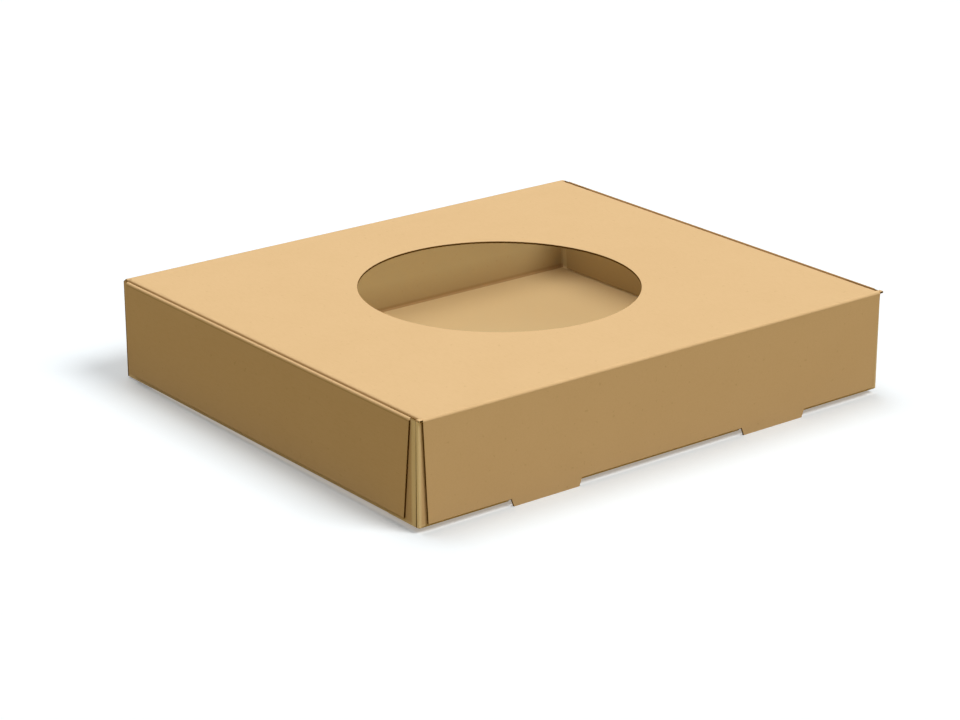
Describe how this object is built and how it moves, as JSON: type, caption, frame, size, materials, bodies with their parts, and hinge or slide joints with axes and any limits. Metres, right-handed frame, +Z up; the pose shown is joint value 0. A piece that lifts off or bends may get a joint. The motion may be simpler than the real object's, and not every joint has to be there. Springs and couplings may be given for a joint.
{
  "type": "pizza box with window",
  "caption": "Closed corrugated pizza box with a large round window in its lid, doubled side walls, and a front flap with lock tabs; lid and flap open on their creases.",
  "frame": {"origin": "bottom centre of the standing box's bounding box, on the surface it stands on", "axes": "+X along the long front edge, to the right seen from the front; +Y from the front flap to the back wall; +Z up"},
  "size_m": [0.4028, 0.3482, 0.0758],
  "materials": {
    "kraft_board": "matte"
  },
  "bodies": {
    "tray": {"tray": "kraft_board"},
    "lid": {"lid": "kraft_board"},
    "front_flap": {"front_flap": "kraft_board"}
  },
  "joints": [
    {"name": "lid_hinge", "type": "hinge", "parent": "tray", "child": "lid", "pos_m": [0, 0.17416, 0.07298], "axis": [-1, 0, 0], "range_deg": [0, 180]},
    {"name": "front_flap_hinge", "type": "hinge", "parent": "lid", "child": "front_flap", "pos_m": [0, -0.17353, 0.07581], "axis": [-1, 0, 0], "range_deg": [0, 120]}
  ]
}
